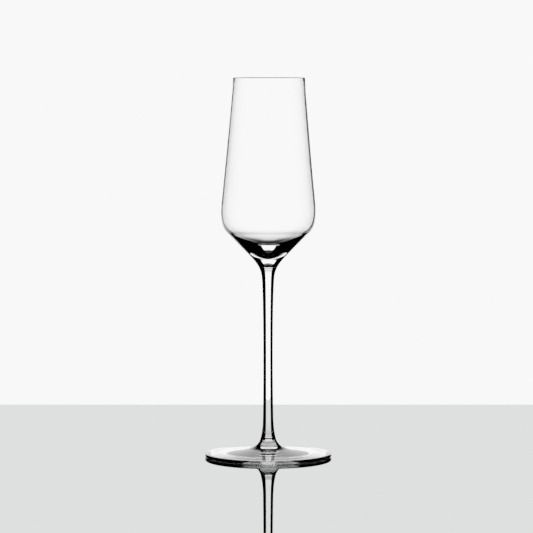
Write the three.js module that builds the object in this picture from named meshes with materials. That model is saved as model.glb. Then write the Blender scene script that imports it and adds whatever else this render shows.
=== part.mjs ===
// Champagne flute, hand-blown clear glass.
//
// Three solids, fused hot when the glass is made: the blown bowl with its solid base, the drawn
// stem, and the foot. All three are surfaces of revolution about Z. The origin is on the surface
// that the glass stands on, under the centre of the foot. Units are millimetres, +Z is up.

import * as THREE from 'three';

// Heights above the standing surface
const HEIGHT = 240;
const BOWL_WELD_Z = 120.5;
const FOOT_WELD_Z = 11;
const SHOULDER_Z = 147.3;
const CAVITY_FLOOR_Z = 128.45;

// Outside radii
const RIM_RADIUS = 22.8;
const SHOULDER_RADIUS = 31.1;
const CONE_TOP_RADIUS = 26.05;
const CONE_FOOT_RADIUS = 11.22;
const NECK_TURN = 7.71;
const BOWL_WELD_RADIUS = 5.8;
const WAIST_RADIUS = 2.95;
const FOOT_WELD_RADIUS = 5.05;
const FOOT_RADIUS = 40.2;

// Wall of the bowl
const LIP_THICKNESS = 1.1;
const WALL = 1.3;
const TAPER_BOW = 0.35;
const SHOULDER_WALL = 1.15;
const CONE_WALL = 1.55;

// Bottom of the cavity: the wall thickens to BOTTOM_WALL where the rounded bottom starts
const BOTTOM_WALL = 1.69;
const BOTTOM_START = 23.11;
const BOTTOM_LEAD = 5.54;
const BOTTOM_TURN_RADIUS = 11.86;
const BOTTOM_TURN_Z = 134.21;
const BOTTOM_REACH = 3.76;

// Foot
const FOOT_TOP_RADIUS = 13.5;
const FOOT_TOP_Z = 5.32;
const FOOT_DIP = -0.05;
const FLARE_TURN = 6.92;
const FLARE_RISE = 0.74;
const EDGE_RADIUS = 1.05;
const EDGE_Z = 1.3;
const STAND_OUTER = 38.2;
const STAND_INNER = 35.7;
const FOOT_HOLLOW = 2.11;
const HOLLOW_REACH = 24.9;

// Rise of the conical base for each millimetre of radius
const CONE_SLOPE = 1.013;

const SIDES = 64;

// A profile is a list of Vector2, x the radius and y the height. It runs up the outside of the
// piece, or round it anticlockwise, and closes on the axis at both ends.

function point(radius, height) {
  return new THREE.Vector2(radius, height);
}

// The smooth bend between two straight stretches that would meet at the corner.
function bend(start, corner, end, steps) {
  return new THREE.QuadraticBezierCurve(start, corner, end).getPoints(steps);
}

// A Bezier curve: it leaves the first corner towards the second, and ends coming from the last but one.
function curve(corners, steps) {
  let rows = Array.from({ length: steps + 1 }, () => corners);
  while (rows[0].length > 1) {
    rows = rows.map((row, i) => row.slice(1).map((corner, k) => row[k].clone().lerp(corner, i / steps)));
  }
  return rows.map((row) => row[0]);
}

// The point at a radius on the line from start through another point.
function along(start, through, radius) {
  const run = (radius - start.x) / (through.x - start.x);
  return point(radius, start.y + (through.y - start.y) * run);
}

function joined(...stretches) {
  const profile = [];
  for (const vertex of stretches.flat()) {
    const last = profile.at(-1);
    if (!last || last.distanceTo(vertex) > 1e-6) profile.push(vertex);
  }
  return profile;
}

function glass(name, profile, colour) {
  const geometry = new THREE.LatheGeometry(profile, SIDES);
  geometry.rotateX(Math.PI / 2);
  const material = new THREE.MeshStandardMaterial({ color: colour, roughness: 0.05, metalness: 0 });
  const mesh = new THREE.Mesh(geometry, material);
  mesh.name = name;
  return mesh;
}

// Bowl: a 45 degree base, a rounded shoulder and a long, nearly straight taper to the lip.
function bowlProfile() {
  const lip = LIP_THICKNESS / 2;
  const weld = point(BOWL_WELD_RADIUS, BOWL_WELD_Z);
  const coneTop = point(CONE_TOP_RADIUS, 142.4);
  const coneFoot = point(CONE_FOOT_RADIUS, 142.4 - (CONE_TOP_RADIUS - CONE_FOOT_RADIUS) * CONE_SLOPE);
  const shoulder = point(SHOULDER_RADIUS, SHOULDER_Z);
  const taperFoot = point(SHOULDER_RADIUS - 0.95, SHOULDER_Z + 12.8);
  const taperTop = point(RIM_RADIUS, HEIGHT - lip);
  const bow = point((taperTop.x + taperFoot.x) / 2 - TAPER_BOW, (taperTop.y + taperFoot.y) / 2);

  const innerTop = point(RIM_RADIUS - LIP_THICKNESS, HEIGHT - lip);
  const innerBow = point(bow.x - WALL, bow.y);
  const innerFoot = point(taperFoot.x - WALL, taperFoot.y);
  const innerConeTop = point(coneTop.x - 0.712 * CONE_WALL, coneTop.y + 0.702 * CONE_WALL);
  const bottomStart = point(
    BOTTOM_START,
    coneTop.y - (coneTop.x - BOTTOM_START) * CONE_SLOPE + 1.423 * BOTTOM_WALL,
  );
  const innerTurn = along(bottomStart, innerConeTop, SHOULDER_RADIUS - SHOULDER_WALL);
  const bottomCorners = [
    bottomStart,
    along(innerConeTop, bottomStart, BOTTOM_START - BOTTOM_LEAD),
    point(BOTTOM_TURN_RADIUS, BOTTOM_TURN_Z),
    point(BOTTOM_REACH, CAVITY_FLOOR_Z),
    point(0, CAVITY_FLOOR_Z),
  ];

  const roundLip = new THREE.Path();
  roundLip.absarc(RIM_RADIUS - lip, HEIGHT - lip, lip, 0, Math.PI, false);

  return joined(
    point(0, BOWL_WELD_Z),
    bend(weld, along(coneTop, coneFoot, NECK_TURN), coneFoot, 4),
    bend(coneTop, shoulder, taperFoot, 7),
    bend(taperFoot, bow, taperTop, 3),
    roundLip.getPoints(4),
    bend(innerTop, innerBow, innerFoot, 3),
    bend(innerFoot, innerTurn, innerConeTop, 7),
    curve(bottomCorners, 8),
  );
}

// Stem: drawn thin between two flares.
function stemProfile() {
  const lowerNeck = point(3.22, 27);
  const waist = point(WAIST_RADIUS, 62);
  const upperNeck = point(3.9, 113.7);
  return joined(
    point(0, FOOT_WELD_Z),
    bend(point(FOOT_WELD_RADIUS, FOOT_WELD_Z), point(3.3, 16.5), lowerNeck, 4),
    bend(lowerNeck, point(WAIST_RADIUS, 45), waist, 2),
    bend(waist, point(WAIST_RADIUS, 100.8), upperNeck, 5),
    bend(upperNeck, point(4.15, 117.25), point(BOWL_WELD_RADIUS, BOWL_WELD_Z), 3),
    point(0, BOWL_WELD_Z),
  );
}

// Foot: a low cone with a round edge, hollowed underneath so that it stands on a narrow ring.
function footProfile() {
  const edgeTop = point(FOOT_RADIUS - EDGE_RADIUS, EDGE_Z + EDGE_RADIUS);
  const flareFoot = point(FOOT_TOP_RADIUS, FOOT_TOP_Z);
  const dip = point((edgeTop.x + flareFoot.x) / 2, (edgeTop.y + flareFoot.y) / 2 - FOOT_DIP);
  const roundEdge = new THREE.Path();
  roundEdge.absarc(FOOT_RADIUS - EDGE_RADIUS, EDGE_Z, EDGE_RADIUS, -Math.PI / 3, Math.PI * 0.46, false);
  return joined(
    bend(point(0, FOOT_HOLLOW), point(HOLLOW_REACH, FOOT_HOLLOW), point(STAND_INNER, 0), 6),
    point(STAND_OUTER, 0),
    roundEdge.getPoints(6),
    bend(edgeTop, dip, flareFoot, 3).slice(1),
    bend(flareFoot, point(FLARE_TURN, FOOT_TOP_Z + FLARE_RISE), point(FOOT_WELD_RADIUS, FOOT_WELD_Z), 6),
    point(0, FOOT_WELD_Z),
  );
}

const flute = new THREE.Group();
flute.add(glass('bowl', bowlProfile(), 0xf3f6f6));
flute.add(glass('stem', stemProfile(), 0xe9eeee));
flute.add(glass('foot', footProfile(), 0xeef2f2));

export default flute;
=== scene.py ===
# Champagne flute in clear glass: a thin bowl with a thick solid base, a drawn stem and a round foot.

import math

import bpy
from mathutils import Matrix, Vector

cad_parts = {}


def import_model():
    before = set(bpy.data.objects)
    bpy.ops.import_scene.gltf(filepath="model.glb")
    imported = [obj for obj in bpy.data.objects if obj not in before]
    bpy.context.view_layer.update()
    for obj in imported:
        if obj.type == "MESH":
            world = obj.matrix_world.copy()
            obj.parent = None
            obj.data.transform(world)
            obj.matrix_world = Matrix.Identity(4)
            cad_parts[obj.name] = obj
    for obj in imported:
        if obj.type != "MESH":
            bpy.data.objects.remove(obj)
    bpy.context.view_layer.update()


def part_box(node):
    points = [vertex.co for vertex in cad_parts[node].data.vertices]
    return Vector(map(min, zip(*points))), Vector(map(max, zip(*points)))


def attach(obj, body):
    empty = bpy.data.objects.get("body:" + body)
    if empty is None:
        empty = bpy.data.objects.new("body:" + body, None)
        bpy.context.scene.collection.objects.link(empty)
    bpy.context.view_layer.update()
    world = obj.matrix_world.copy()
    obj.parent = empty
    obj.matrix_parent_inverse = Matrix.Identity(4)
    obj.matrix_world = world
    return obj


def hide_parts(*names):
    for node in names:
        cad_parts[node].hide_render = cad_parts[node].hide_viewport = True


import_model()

MM = 0.001
SIDES = 192
SAME_POINT = 1e-6

# Heights and radii in millimetres.
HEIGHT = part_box("bowl")[1].z / MM
BOWL_WELD_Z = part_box("stem")[1].z / MM
FOOT_WELD_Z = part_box("foot")[1].z / MM
FOOT_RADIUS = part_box("foot")[1].x / MM
SHOULDER_Z = 147.3
CAVITY_FLOOR_Z = 128.45
CONE_FOOT_RADIUS = 11.22
NECK_TURN = 7.71
CONE_WALL = 1.55
BOTTOM_WALL = 1.69
BOTTOM_START = 23.11
BOTTOM_LEAD = 5.54
BOTTOM_REACH = 3.76
BOTTOM_TURN_RADIUS = 11.86
BOTTOM_TURN_Z = 134.21

# The outer cone is a straight line: its top, one point low on it, and its rise for each millimetre
# outwards. CONE_IN and CONE_UP lead square through its wall towards the cavity, inwards and up, and
# CONE_THROUGH is how far straight up the wall reaches, all for each millimetre of thickness.
CONE_TOP = (26.05, 142.4)
CONE_LOW_RADIUS = 10.55
CONE_LOW_Z = 126.7
CONE_SLOPE = 1.013
CONE_IN = 0.712
CONE_UP = 0.702
CONE_THROUGH = 1.423

RIM_RADIUS = 22.8
SHOULDER_RADIUS = 31.1
BOWL_WELD_RADIUS = 5.8
WAIST_RADIUS = 2.95
FOOT_WELD_RADIUS = 5.05

LIP_THICKNESS = 1.1
WALL = 1.3
SHOULDER_WALL = 1.15
TAPER_BOW = 0.35
TAPER_FOOT_INSET = 0.95
TAPER_FOOT_RISE = 12.8

# The stem, from the foot up: the flare's corner, the slim part, the waist and the flare under the bowl.
FOOT_FLARE = (3.3, 16.5)
SLIM = (3.22, 27)
LOW_WAIST_Z = 45
WAIST_Z = 62
HIGH_WAIST_Z = 100.8
TOP_FLARE = (3.9, 113.7)
TOP_FLARE_TURN = (4.15, 117.25)

FOOT_TOP_RADIUS = 13.5
FOOT_TOP_Z = 5.32
EDGE_RADIUS = 1.05
EDGE_Z = 1.3
EDGE_START = -math.pi / 3
EDGE_END = math.pi * 0.46
STAND_OUTER = 38.2
STAND_INNER = 35.7
FOOT_HOLLOW = 2.11
HOLLOW_REACH = 24.9
FOOT_DIP = -0.05
FLARE_TURN = 6.92
FLARE_RISE = 0.74

HAND_LEAN = 2.6e-5
LEAN_CROSSING_Z = 160


# ---------------------------------------------------------------- outlines

def bend(start, corner, end, steps):
    """The smooth bend between two straight stretches that would meet at the corner."""
    points = []
    for i in range(steps + 1):
        t = i / steps
        points.append(tuple(
            (1 - t) ** 2 * a + 2 * t * (1 - t) * k + t * t * b
            for a, k, b in zip(start, corner, end)
        ))
    return points


def curve(corners, steps):
    """A Bezier curve: it leaves the first corner towards the second and arrives from the last but one."""
    order = len(corners) - 1
    points = []
    for i in range(steps + 1):
        t = i / steps
        pulls = [math.comb(order, k) * t ** k * (1 - t) ** (order - k) for k in range(order + 1)]
        points.append(tuple(
            sum(pull * corner[axis] for pull, corner in zip(pulls, corners)) for axis in (0, 1)
        ))
    return points


def along(start, through, radius):
    """The point at a radius on the line from start through another point."""
    run = (radius - start[0]) / (through[0] - start[0])
    return (radius, start[1] + (through[1] - start[1]) * run)


def straight(start, end, steps):
    return [tuple(a + (b - a) * i / steps for a, b in zip(start, end)) for i in range(steps + 1)]


def arc(centre, radius, start, end, steps):
    points = []
    for i in range(steps + 1):
        turn = start + (end - start) * i / steps
        points.append((centre[0] + radius * math.cos(turn), centre[1] + radius * math.sin(turn)))
    return points


def joined(*stretches):
    outline = []
    for stretch in stretches:
        for p in stretch:
            if not outline or math.dist(outline[-1], p) > SAME_POINT:
                outline.append(p)
    return outline


def bowl_outline():
    lip = LIP_THICKNESS / 2
    taper_top = (RIM_RADIUS, HEIGHT - lip)
    taper_foot = (SHOULDER_RADIUS - TAPER_FOOT_INSET, SHOULDER_Z + TAPER_FOOT_RISE)
    bow = ((taper_top[0] + taper_foot[0]) / 2 - TAPER_BOW, (taper_top[1] + taper_foot[1]) / 2)
    inner_top = (RIM_RADIUS - LIP_THICKNESS, HEIGHT - lip)
    inner_foot = (taper_foot[0] - WALL, taper_foot[1])
    inner_bow = (bow[0] - WALL, bow[1])
    cone_foot = (CONE_FOOT_RADIUS, CONE_LOW_Z + (CONE_FOOT_RADIUS - CONE_LOW_RADIUS) * CONE_SLOPE)
    inner_cone_top = (CONE_TOP[0] - CONE_IN * CONE_WALL, CONE_TOP[1] + CONE_UP * CONE_WALL)
    outer_z = cone_foot[1] + (BOTTOM_START - cone_foot[0]) * CONE_SLOPE
    inner_cone_foot = (BOTTOM_START, outer_z + CONE_THROUGH * BOTTOM_WALL)
    inner_turn = along(inner_cone_foot, inner_cone_top, SHOULDER_RADIUS - SHOULDER_WALL)
    bottom_side = along(inner_cone_top, inner_cone_foot, BOTTOM_START - BOTTOM_LEAD)
    bottom_turn = (BOTTOM_TURN_RADIUS, BOTTOM_TURN_Z)
    floor_corner = (BOTTOM_REACH, CAVITY_FLOOR_Z)
    return joined(
        bend((BOWL_WELD_RADIUS, BOWL_WELD_Z), along(CONE_TOP, cone_foot, NECK_TURN), cone_foot, 14),
        straight(cone_foot, CONE_TOP, 10),
        bend(CONE_TOP, (SHOULDER_RADIUS, SHOULDER_Z), taper_foot, 20),
        bend(taper_foot, bow, taper_top, 16),
        arc((RIM_RADIUS - lip, HEIGHT - lip), lip, 0, math.pi, 12),
        bend(inner_top, inner_bow, inner_foot, 16),
        bend(inner_foot, inner_turn, inner_cone_top, 20),
        straight(inner_cone_top, inner_cone_foot, 10),
        curve((inner_cone_foot, bottom_side, bottom_turn, floor_corner, (0, CAVITY_FLOOR_Z)), 60),
    )


def stem_outline():
    waist = (WAIST_RADIUS, WAIST_Z)
    return joined(
        bend((FOOT_WELD_RADIUS, FOOT_WELD_Z), FOOT_FLARE, SLIM, 14),
        bend(SLIM, (WAIST_RADIUS, LOW_WAIST_Z), waist, 12),
        bend(waist, (WAIST_RADIUS, HIGH_WAIST_Z), TOP_FLARE, 24),
        bend(TOP_FLARE, TOP_FLARE_TURN, (BOWL_WELD_RADIUS, BOWL_WELD_Z), 12),
    )


def foot_outline():
    edge_top = (FOOT_RADIUS - EDGE_RADIUS, EDGE_Z + EDGE_RADIUS)
    top_foot = (FOOT_TOP_RADIUS, FOOT_TOP_Z)
    dip = ((edge_top[0] + top_foot[0]) / 2, (edge_top[1] + top_foot[1]) / 2 - FOOT_DIP)
    return joined(
        bend((0, FOOT_HOLLOW), (HOLLOW_REACH, FOOT_HOLLOW), (STAND_INNER, 0), 24),
        [(STAND_OUTER, 0)],
        arc((FOOT_RADIUS - EDGE_RADIUS, EDGE_Z), EDGE_RADIUS, EDGE_START, EDGE_END, 12),
        bend(edge_top, dip, top_foot, 24)[1:],
        bend(top_foot, (FLARE_TURN, FOOT_TOP_Z + FLARE_RISE), (FOOT_WELD_RADIUS, FOOT_WELD_Z), 20),
    )


# ---------------------------------------------------------------- glass meshes

def lean(height):
    """How far a hand-drawn glass wanders from its axis: the stem one way, the rim the other."""
    return HAND_LEAN * max(height - FOOT_WELD_Z, 0) * (height - LEAN_CROSSING_Z)


def revolve(name, outline, materials):
    """One closed solid about Z. An end of the outline away from the axis is closed by a flat weld disc."""
    vertices, rings, faces, slots = [], [], [], []
    for radius, height in outline:
        if radius < SAME_POINT:
            rings.append([len(vertices)])
            vertices.append((lean(height) * MM, 0, height * MM))
            continue
        rings.append(list(range(len(vertices), len(vertices) + SIDES)))
        for i in range(SIDES):
            turn = 2 * math.pi * i / SIDES
            x = radius * math.cos(turn) + lean(height)
            vertices.append((x * MM, radius * MM * math.sin(turn), height * MM))
    for low, high in zip(rings, rings[1:]):
        for i in range(SIDES):
            j = (i + 1) % SIDES
            if len(low) == 1:
                faces.append((low[0], high[j], high[i]))
            elif len(high) == 1:
                faces.append((low[i], low[j], high[0]))
            else:
                faces.append((low[i], low[j], high[j], high[i]))
            slots.append(0)
    for ring, up in ((rings[0], False), (rings[-1], True)):
        if len(ring) > 1:
            faces.append(tuple(ring) if up else tuple(reversed(ring)))
            slots.append(1)
    mesh = bpy.data.meshes.new(name)
    mesh.from_pydata(vertices, [], faces)
    for material in materials:
        mesh.materials.append(material)
    mesh.polygons.foreach_set("material_index", slots)
    mesh.polygons.foreach_set("use_smooth", [slot == 0 for slot in slots])
    mesh.update()
    piece = bpy.data.objects.new(name, mesh)
    bpy.context.scene.collection.objects.link(piece)
    return piece


# ---------------------------------------------------------------- materials

# Clear glass is faintly green. The waves left by blowing and drawing are up to 20 micrometres
# high, under 2 cm apart round the glass and four times as far apart along it.
GLASS_TINT = (0.99, 0.996, 0.988, 1)
GLASS_IOR = 1.5
WAVE_HEIGHT = 2e-5
WAVES_PER_METRE = 60
WAVE_STRETCH = (1, 1, 0.25)


def maths(tree, operation, *values):
    """A Math node in a node tree: each value is a number or the output of another node."""
    node = tree.nodes.new("ShaderNodeMath")
    node.operation = operation
    for socket, value in zip(node.inputs, values):
        if isinstance(value, (int, float)):
            socket.default_value = value
        else:
            tree.links.new(value, socket)
    return node.outputs[0]


def glass_material(name):
    material = bpy.data.materials.new(name)
    material.use_nodes = True
    nodes, links = material.node_tree.nodes, material.node_tree.links
    shader = nodes["Principled BSDF"]
    shader.inputs["Base Color"].default_value = GLASS_TINT
    shader.inputs["Roughness"].default_value = 0.0
    shader.inputs["IOR"].default_value = GLASS_IOR
    shader.inputs["Transmission Weight"].default_value = 1.0
    stretch = nodes.new("ShaderNodeVectorMath")
    stretch.operation = "MULTIPLY"
    stretch.inputs[1].default_value = WAVE_STRETCH
    waves = nodes.new("ShaderNodeTexNoise")
    waves.inputs["Scale"].default_value = WAVES_PER_METRE
    waves.inputs["Detail"].default_value = 1.0
    bump = nodes.new("ShaderNodeBump")
    bump.inputs["Distance"].default_value = WAVE_HEIGHT
    links.new(nodes.new("ShaderNodeTexCoord").outputs["Object"], stretch.inputs[0])
    links.new(stretch.outputs[0], waves.inputs["Vector"])
    links.new(waves.outputs["Fac"], bump.inputs["Height"])
    links.new(bump.outputs["Normal"], shader.inputs["Normal"])
    return material


def weld_material():
    """The inside of a weld between two fused pieces: no boundary, so light goes straight on."""
    material = bpy.data.materials.new("fused_weld")
    material.use_nodes = True
    nodes = material.node_tree.nodes
    nodes.clear()
    shader = nodes.new("ShaderNodeBsdfTransparent")
    output = nodes.new("ShaderNodeOutputMaterial")
    material.node_tree.links.new(shader.outputs[0], output.inputs["Surface"])
    return material


glass = glass_material("clear_glass")
weld = weld_material()

pieces = {
    "bowl": revolve("bowl_glass", bowl_outline(), (glass, weld)),
    "stem": revolve("stem_glass", stem_outline(), (glass, weld)),
    "foot": revolve("foot_glass", foot_outline(), (glass, weld)),
}
for node, piece in pieces.items():
    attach(piece, "root")
    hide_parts(node)


# ---------------------------------------------------------------- stage

BOX_LIGHT = 1.2

TABLE_EDGES = (-1.0, 2.5, -2.5, 0.277)
TABLE_COLOUR = (0.514, 0.532, 0.523, 1)
TABLE_ROUGHNESS = 0.01
TABLE_DROP = 0.00002

# Under the foot the table has a painted glow. For a look from above through the foot, an emission in the
# table's colour takes the place of the table's mirror image and shows a pale tone. The change runs between
# these two values of Facing, at 13 and 16 degrees above the table.
PAINTED_GLOW_REACH = 0.04
TABLE_GLANCING = 0.775
TABLE_STEEP = 0.724


def table_material():
    material = bpy.data.materials.new("pale_table_painted_glow")
    material.use_nodes = True
    tree = material.node_tree
    nodes, links = tree.nodes, tree.links
    nodes.clear()
    shine = nodes.new("ShaderNodeBsdfGlossy")
    shine.inputs["Roughness"].default_value = TABLE_ROUGHNESS
    shine.inputs["Color"].default_value = TABLE_COLOUR
    # Painted glow: this emission makes the table glow in its own colour under the foot, in place of being
    # lit.
    pale = nodes.new("ShaderNodeEmission")
    pale.inputs["Color"].default_value = TABLE_COLOUR
    pale.inputs["Strength"].default_value = BOX_LIGHT
    steep = nodes.new("ShaderNodeMapRange")
    steep.inputs["From Min"].default_value = TABLE_GLANCING
    steep.inputs["From Max"].default_value = TABLE_STEEP
    links.new(nodes.new("ShaderNodeLayerWeight").outputs["Facing"], steep.inputs["Value"])
    from_axis = nodes.new("ShaderNodeVectorMath")
    from_axis.operation = "LENGTH"
    links.new(nodes.new("ShaderNodeTexCoord").outputs["Object"], from_axis.inputs[0])
    path = nodes.new("ShaderNodeLightPath")
    two_surfaces = maths(tree, "COMPARE", path.outputs["Transmission Depth"], 2, 0.5)
    no_mirror = maths(tree, "LESS_THAN", path.outputs["Glossy Depth"], 0.5)
    straight_down = maths(tree, "MULTIPLY", two_surfaces, no_mirror)
    under_foot = maths(tree, "LESS_THAN", from_axis.outputs["Value"], PAINTED_GLOW_REACH)
    share = maths(tree, "MULTIPLY", straight_down, under_foot)
    # The mix puts the painted glow under the foot, only for rays that came straight down through the foot.
    mix = nodes.new("ShaderNodeMixShader")
    output = nodes.new("ShaderNodeOutputMaterial")
    links.new(maths(tree, "MULTIPLY", share, steep.outputs["Result"]), mix.inputs["Fac"])
    links.new(shine.outputs[0], mix.inputs[1])
    links.new(pale.outputs[0], mix.inputs[2])
    links.new(mix.outputs[0], output.inputs["Surface"])
    return material


def table():
    left, right, front, back = TABLE_EDGES
    vertices = [(left, front, 0), (right, front, 0), (right, back, 0), (left, back, 0)]
    mesh = bpy.data.meshes.new("table")
    mesh.from_pydata(vertices, [], [(0, 1, 2, 3)])
    mesh.materials.append(table_material())
    obj = bpy.data.objects.new("table", mesh)
    bpy.context.scene.collection.objects.link(obj)
    obj.location.z = -TABLE_DROP


# Soft boxes around the glass, each a window (left, right, low, low_fade, high, high_fade) of azimuth and
# elevation in degrees, seen from the glass. The fades say how softly its lower and upper edges end.
# Azimuth 90 is behind the glass. Everything between the boxes is dark. The side boxes light what is seen
# straight through the glass from the other sides, and the mirrored boxes what the table reflects.
BACK_BOXES = (
    (73.4, 110.3, -21.5, 12.0, 22.0, 14.0),
)
SIDE_BOXES = (
    (174, 202, -10, 1, 10, 1),
    (116, 154, -34, 1, -17, 1),
    (-64, -26, -23, 1, -8, 1),
    (-104, -76, -20, 1, 20, 1),
)
MIRRORED_BOXES = (
    (116, 154, 21, 1, 34, 1),
    (-64, -26, 8, 1, 23, 1),
    (-119, 239, 54, 1, 91, 1),
)


# How softly a box's left and right edges end, in degrees, and where azimuth starts and ends.
UPRIGHT_FADE = 0.8
AZIMUTH_RANGE = (-120, 240)
DEGREES = 180 / math.pi


def above(tree, value, edge, softness):
    """1 where a value is well above an edge and 0 well below it, with a smooth step between."""
    step = tree.nodes.new("ShaderNodeMapRange")
    step.interpolation_type = "SMOOTHSTEP"
    tree.links.new(value, step.inputs["Value"])
    step.inputs["From Min"].default_value = edge - softness
    step.inputs["From Max"].default_value = edge + softness
    return step.outputs["Result"]


def between(tree, value, low, low_fade, high, high_fade):
    under = maths(tree, "SUBTRACT", 1, above(tree, value, high, high_fade))
    return maths(tree, "MULTIPLY", above(tree, value, low, low_fade), under)


def boxes(tree, azimuth, elevation, windows):
    """1 inside any of the windows and 0 outside them all."""
    level = None
    for left, right, low, low_fade, high, high_fade in windows:
        width = between(tree, azimuth, left, UPRIGHT_FADE, right, UPRIGHT_FADE)
        height = between(tree, elevation, low, low_fade, high, high_fade)
        box = maths(tree, "MULTIPLY", width, height)
        level = box if level is None else maths(tree, "MAXIMUM", level, box)
    return level


def world():
    """The studio: a pale backdrop for a direct look, and a dark room with soft boxes for the glass."""
    sky = bpy.data.worlds.new("studio")
    bpy.context.scene.world = sky
    sky.use_nodes = True
    tree = sky.node_tree
    nodes, links = tree.nodes, tree.links

    split = nodes.new("ShaderNodeSeparateXYZ")
    links.new(nodes.new("ShaderNodeTexCoord").outputs["Generated"], split.inputs[0])
    turn = maths(tree, "MULTIPLY", maths(tree, "ARCTAN2", split.outputs["Y"], split.outputs["X"]), DEGREES)
    azimuth = maths(tree, "WRAP", turn, *AZIMUTH_RANGE)
    elevation = maths(tree, "MULTIPLY", maths(tree, "ARCSINE", split.outputs["Z"]), DEGREES)

    # Glass bends and mirrors light perfectly sharply, so a ray that isn't singular comes off the table or
    # is a direct look. The table's own reflection doesn't count as one in the glass.
    path = nodes.new("ShaderNodeLightPath")
    off_table = maths(tree, "SUBTRACT", 1, path.outputs["Is Singular Ray"])
    allowed = maths(tree, "ADD", off_table, 0.5)
    straight_through = maths(tree, "GREATER_THAN", allowed, path.outputs["Glossy Depth"])
    no_glass = maths(tree, "LESS_THAN", path.outputs["Transmission Depth"], 0.5)
    first_look = maths(tree, "LESS_THAN", path.outputs["Ray Depth"], 2.5)
    backdrop = maths(tree, "MULTIPLY", maths(tree, "MULTIPLY", no_glass, first_look), off_table)

    back_light = boxes(tree, azimuth, elevation, BACK_BOXES)
    mirrored = maths(tree, "MULTIPLY", boxes(tree, azimuth, elevation, MIRRORED_BOXES), off_table)
    sides = maths(tree, "MAXIMUM", boxes(tree, azimuth, elevation, SIDE_BOXES), mirrored)
    side_light = maths(tree, "MULTIPLY", sides, straight_through)
    level = maths(tree, "MAXIMUM", maths(tree, "MAXIMUM", back_light, side_light), backdrop)

    lamp = nodes.new("ShaderNodeMix")
    lamp.data_type = "FLOAT"
    links.new(path.outputs["Is Camera Ray"], lamp.inputs["Factor"])
    lamp.inputs["A"].default_value = BOX_LIGHT
    lamp.inputs["B"].default_value = 1.0
    background = nodes["Background"]
    background.inputs["Color"].default_value = (1, 1, 1, 1)
    links.new(maths(tree, "MULTIPLY", level, lamp.outputs[0]), background.inputs["Strength"])


# The tone curve: the brightest tone, and how soon bright light levels off.
WHITE = 0.939
TONE_SHOULDER = 1.5
TONE_STEPS = 10


def tone(light):
    return WHITE * (1 - math.exp(-TONE_SHOULDER * light)) / (1 - math.exp(-TONE_SHOULDER))


def develop():
    """The film's tone curve: it stops just short of pure white, with a long shoulder below that."""
    view = bpy.context.scene.view_settings
    view.view_transform = "Standard"
    view.use_curve_mapping = True
    film = view.curve_mapping.curves[3]
    for i in range(1, TONE_STEPS):
        light = i / TONE_STEPS
        film.points.new(light, tone(light))
    film.points[-1].location = (1, tone(1))
    view.curve_mapping.extend = "HORIZONTAL"
    view.curve_mapping.update()


# ---------------------------------------------------------------- camera

CAMERA_DISTANCE = 1.8
CAMERA_ASIDE = -0.0011
CAMERA_HEIGHT = 0.2491
CAMERA_PITCH = math.radians(4.074)
CAMERA_FIELD = math.radians(10.655)


def camera():
    data = bpy.data.cameras.new("camera")
    data.sensor_fit = "HORIZONTAL"
    data.angle = CAMERA_FIELD
    obj = bpy.data.objects.new("camera", data)
    obj.location = (CAMERA_ASIDE, -CAMERA_DISTANCE, CAMERA_HEIGHT)
    obj.rotation_euler = (math.pi / 2 - CAMERA_PITCH, 0, 0)
    bpy.context.scene.collection.objects.link(obj)
    bpy.context.scene.camera = obj


table()
world()
camera()
develop()

# Light crosses many surfaces of clear glass before it reaches the room.
scene = bpy.context.scene
scene.cycles.max_bounces = 32
scene.cycles.transmission_bounces = 32
scene.cycles.glossy_bounces = 16
scene.cycles.transparent_max_bounces = 16
scene.cycles.use_denoising = True
scene.cycles.denoising_input_passes = "RGB"
